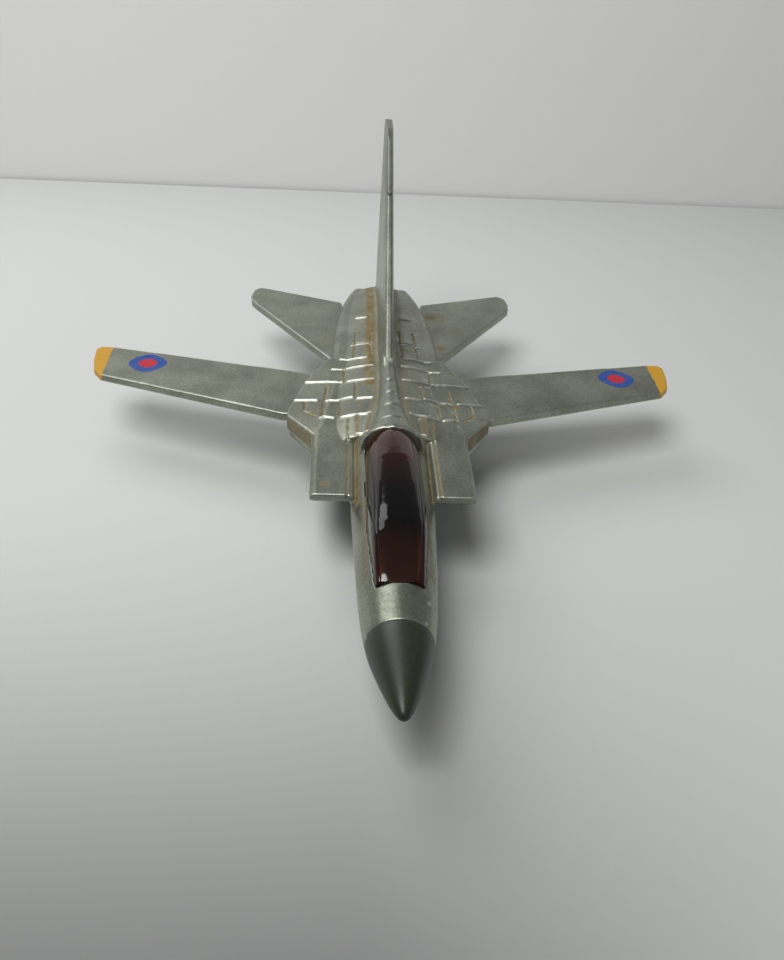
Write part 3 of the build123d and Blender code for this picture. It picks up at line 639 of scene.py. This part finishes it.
def makeSmoked(values):
    # smoked polystyrene moulding: glossy; its tone along the aircraft is painted light and shade, near black
    # over the dark cockpit and red-brown where light comes through
    # the colour is also set flat, for viewers that leave the nodes out
    glass = {"Base Color": toLinear(values["colour"]), "Roughness": values["roughness"], "IOR": values["ior"]}
    glass.update({"Transmission Weight": 0.86, "Specular IOR Level": 0.045})
    material, tree, shader, place = startMaterial("smokedClearPolystyrene", glass)
    spot = (place, "Object")
    patches = {"Vector": spot, "Scale": 1 / (values["scratchSize"] * mm), "Detail": 5.0}
    scratch = addNode(tree, "ShaderNodeTexNoise", None, patches)
    parts = addNode(tree, "ShaderNodeSeparateXYZ", None, {"Vector": spot})
    first, last = values["lightAndShadeAlong"][0][0], values["lightAndShadeAlong"][-1][0]
    wander = {0: (scratch, "Fac"), 1: values["waver"] * mm, 2: (parts, "Y")}
    wandered = addNode(tree, "ShaderNodeMath", {"operation": "MULTIPLY_ADD"}, wander)
    middle = values["waver"] / 2
    limits = {"From Min": (first + middle) * mm, "From Max": (last + middle) * mm}
    share = addNode(tree, "ShaderNodeMapRange", None, {"Value": (wandered, 0)} | limits)
    # painted light and shade along the canopy
    lightAndShadeTone = addNode(tree, "ShaderNodeValToRGB", None, {"Fac": (share, "Result")})
    stops = [((along - first) / (last - first), colour) for along, colour in values["lightAndShadeAlong"]]
    setStops(lightAndShadeTone, stops)
    tree.links.new(lightAndShadeTone.outputs["Color"], shader.inputs["Base Color"])
    hazy = {0: (scratch, "Fac"), 1: values["haze"], 2: values["roughness"] - 0.04}
    haze = addNode(tree, "ShaderNodeMath", {"operation": "MULTIPLY_ADD"}, hazy)
    tree.links.new(haze.outputs[0], shader.inputs["Roughness"])
    relief = {"Strength": 0.2, "Distance": 0.06 * mm, "Height": (scratch, "Fac")}
    bump = addNode(tree, "ShaderNodeBump", None, relief)
    tree.links.new(bump.outputs["Normal"], shader.inputs["Normal"])
    return material


canopyShape = {
    "sill": 3.41,           # mm above the axis
    "wall": 0.85,
    "rows": 96,
    "columns": 56,
    # along y: half width, height above the sill, and how boxy the section is
    "stations": [
        (-39.05, 2.90, 1.60, 5.0),
        (-38.4, 3.02, 2.05, 4.6),
        (-33.2, 3.50, 4.75, 4.2),
        (-31.6, 3.66, 5.30, 3.9),
        (-29.0, 3.80, 5.58, 3.5),
        (-24.0, 3.92, 5.85, 3.1),
        (-18.0, 3.93, 5.87, 2.7),
        (-13.0, 3.92, 5.55, 2.3),
        (-10.65, 3.84, 5.20, 2.15),
    ],
    "frameDepth": 0.07 / 4,             # pressed in, as a share of the half width
    "frameAngles": (52, 128),           # degrees around the section, the two shoulder frames
    "frameWidth": 0.045,
    "archAt": -19.0,        # mm along, one faint arch over the roof
    "archWidth": 0.2,
    "archShare": 0.15,
}


def canopySkin(values, inset):
    # grid of points over the outside, or over the inside when there is an inset
    stations = np.array(values["stations"])
    along = np.linspace(stations[0, 0] + inset, stations[-1, 0] - inset, values["rows"] + 1)
    half, height, boxy = (np.interp(along, stations[:, 0], stations[:, k]) for k in (1, 2, 3))
    half, height = half - inset, height - inset
    angle = np.linspace(0, math.pi, values["columns"] + 1)
    power = (2 / boxy)[:, None]
    shareX = np.sign(np.cos(angle))[None, :] * np.abs(np.cos(angle))[None, :] ** power
    shareZ = np.abs(np.sin(angle))[None, :] ** power
    relief = 1.0
    if not inset:
        angles = [math.radians(degrees) for degrees in values["frameAngles"]]
        first, second = (bell(angle - centre, values["frameWidth"]) for centre in angles)
        arch = bell(along - values["archAt"], values["archWidth"]) * values["archShare"]
        relief = 1 - values["frameDepth"] * np.maximum((first + second)[None, :], arch[:, None])
    x = half[:, None] * shareX * relief
    z = height[:, None] * shareZ * relief
    y = np.broadcast_to(along[:, None], x.shape)
    return np.stack([x, y, z + axisZ + values["sill"]], axis=-1)


def makeCanopy(values, material):
    # an outer and an inner skin, closed at both ends and joined along the sill
    outer, inner = canopySkin(values, 0), canopySkin(values, values["wall"])
    rows, columns = values["rows"] + 1, values["columns"] + 1
    points = np.concatenate([outer.reshape(-1, 3), inner.reshape(-1, 3)]) * mm

    def at(layer, row, column):
        return layer * rows * columns + row * columns + column

    faces = []
    for layer in (0, 1):
        for row in range(rows - 1):
            for column in range(columns - 1):
                near = (at(layer, row, column), at(layer, row, column + 1))
                faces.append(near + (at(layer, row + 1, column + 1), at(layer, row + 1, column)))
        for row in (0, rows - 1):
            faces.append(tuple(at(layer, row, column) for column in range(columns)))
    for column in (0, columns - 1):
        for row in range(rows - 1):
            near = (at(0, row, column), at(0, row + 1, column))
            faces.append(near + (at(1, row + 1, column), at(1, row, column)))
    for row in (0, rows - 1):
        faces.append((at(0, row, 0), at(0, row, columns - 1), at(1, row, columns - 1), at(1, row, 0)))
    mesh = bpy.data.meshes.new("canopyMoulding")
    mesh.from_pydata([tuple(point) for point in points], [], faces)
    weld(mesh, gap=0.0005, turnOutward=True)
    mesh.shade_smooth()
    mesh.set_sharp_from_angle(angle=math.radians(35))
    piece = addObject("canopyMoulding", mesh)
    piece.data.materials.append(material)
    rideFor(piece, "airframe", "canopy")
    return piece


makeCanopy(canopyShape, makeSmoked(smokedClear))
print("nose cone and canopy done")

# moulded nylon: near black, satin, with a faint grain
blackParts = {
    "nodes": ["nose_wheel_left", "nose_wheel_right", "main_wheel_left", "main_wheel_right", "exhaust_insert"],
    "dark": "#131313",
    "light": "#222221",
    "grainSize": 0.5,
    "relief": 0.2,
    "shader": {"Roughness": 0.45, "IOR": 1.53},
}
# drawn steel wire and peened rivets: bright, with a fine uneven sheen
steelParts = {
    "nodes": ["pivot_pins", "body_rivets", "nose_axle", "main_axle"],
    "dark": "#8f8f8c",
    "light": "#b5b5b1",
    "grainSize": 0.3,
    "relief": 0.1,
    "shader": {"Metallic": 1.0, "Roughness": 0.3},
}
silverParts = {"nodes": ["nose_leg", "main_leg_left", "main_leg_right"]}


def coat(values, material):
    # small hardware keeps its CAD shape and only gets its finish
    for nodeName in values["nodes"]:
        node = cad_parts[nodeName]
        node.data.materials.clear()
        node.data.materials.append(material)


coat(blackParts, makeGrained("blackMouldedNylon", blackParts))
coat(steelParts, makeGrained("drawnSteelWire", steelParts))
coat(silverParts, castingPaint)
print("hardware done")

studio = {
    "paper": "#c6c8c4",
    "wall": "#dfdedd",
    "card": "#8a8a88",
    "sheetRoughness": 0.85,
    "reach": 900,           # mm to each side
    "front": -600,
    "wallY": (143, 173),    # mm, the wall's foot at its two ends
    "wallTop": 100,
    "skyColour": "#e9eaee",
    "sky": 0.22,
    "cardHeight": 105,
    "cardX": (-420, -8),
    "cardY": (-420, -88),
}


def flatSheet(name, corners, surfaceName, colour):
    # matt paper or card: no sheen, only soft shade
    mesh = bpy.data.meshes.new(name)
    places = [tuple(c * mm for c in corner) for corner in corners]
    mesh.from_pydata(places, [], [tuple(range(len(corners)))])
    sheet = addObject(name, mesh)
    surface = {"Roughness": studio["sheetRoughness"], "Base Color": toLinear(colour)}
    sheet.data.materials.append(startMaterial(surfaceName, surface)[0])


reach, front, wallTop = studio["reach"], studio["front"], studio["wallTop"]
wallLeft, wallRight = studio["wallY"]
floorCorners = [(-reach, front, 0), (reach, front, 0), (reach, wallRight - 1, 0), (-reach, wallLeft - 1, 0)]
flatSheet("floorPaper", floorCorners, "mattFloorPaper", studio["paper"])
wallFoot = [(-reach, wallLeft, -30), (reach, wallRight, -30)]
wallHead = [(reach, wallRight, wallTop), (-reach, wallLeft, wallTop)]
flatSheet("wallPanel", wallFoot + wallHead, "mattWallPaint", studio["wall"])
# a plain card above the front of the floor keeps the lamp off it
(cardLeft, cardRight), (cardFront, cardBack) = studio["cardX"], studio["cardY"]
cardPlan = [(cardLeft, cardFront), (cardRight, cardFront), (cardRight, cardBack), (cardLeft, cardBack)]
cardCorners = [(x, y, studio["cardHeight"]) for x, y in cardPlan]
flatSheet("shadingCard", cardCorners, "greyShadingCard", studio["card"])

# places and sizes in mm, power in watts
lamps = {
    "windowLight": {
        "place": (-125, -190, 390),
        "target": (0, 10, 0),
        "size": 230,
        "power": 1.6,
        "colour": "#ffffff",
    },
    "ceilingGlow": {
        "place": (-135, 150, 250),
        "target": (0, 110, 10),
        "size": 230,
        "power": 0.36,
        "colour": "#fbfbff",
    },
}


def areaLight(name, values):
    data = bpy.data.lights.new(name, "AREA")
    data.shape = "DISK"
    data.size = values["size"] * mm
    data.energy = values["power"]
    data.color = toLinear(values["colour"])[:3]
    lamp = addObject(name, data)
    lamp.location = Vector(values["place"]) * mm
    toTarget = Vector(values["target"]) - Vector(values["place"])
    lamp.rotation_euler = toTarget.to_track_quat("-Z", "Y").to_euler()


for lampName, lampValues in lamps.items():
    areaLight(lampName, lampValues)
world = bpy.data.worlds.new("roomLight")
bpy.context.scene.world = world
world.use_nodes = True
background = world.node_tree.nodes["Background"]
background.inputs["Color"].default_value = toLinear(studio["skyColour"])
background.inputs["Strength"].default_value = studio["sky"]

# angles in degrees, distance in mm from the target, lens in mm
view = {
    "turn": -4.12,
    "tilt": 34.0,
    "roll": 3.85,
    "distance": 138.3,
    "target": (0.244, -10.61, axisZ),
    "lens": 36.05,
    "sensor": 36.0,
    "clipStart": 5,
}


def makeCamera(values):
    turn, tilt, roll = (math.radians(values[k]) for k in ("turn", "tilt", "roll"))
    back = Vector((math.sin(turn) * math.cos(tilt), -math.cos(turn) * math.cos(tilt), math.sin(tilt)))
    right = (-back).cross(Vector((0, 0, 1))).normalized()
    up = right.cross(-back)
    across = right * math.cos(roll) + up * math.sin(roll)
    upward = -right * math.sin(roll) + up * math.cos(roll)
    data = bpy.data.cameras.new("tableCamera")
    data.lens = values["lens"]
    data.sensor_width = values["sensor"]
    data.clip_start = values["clipStart"] * mm
    camera = addObject("tableCamera", data)
    place = (Vector(values["target"]) + back * values["distance"]) * mm
    turnMatrix = Matrix((across, upward, back)).transposed().to_4x4()
    camera.matrix_world = Matrix.Translation(place) @ turnMatrix
    bpy.context.scene.camera = camera


makeCamera(view)
bpy.context.scene.view_settings.view_transform = "Standard"
print("camera and light ready")
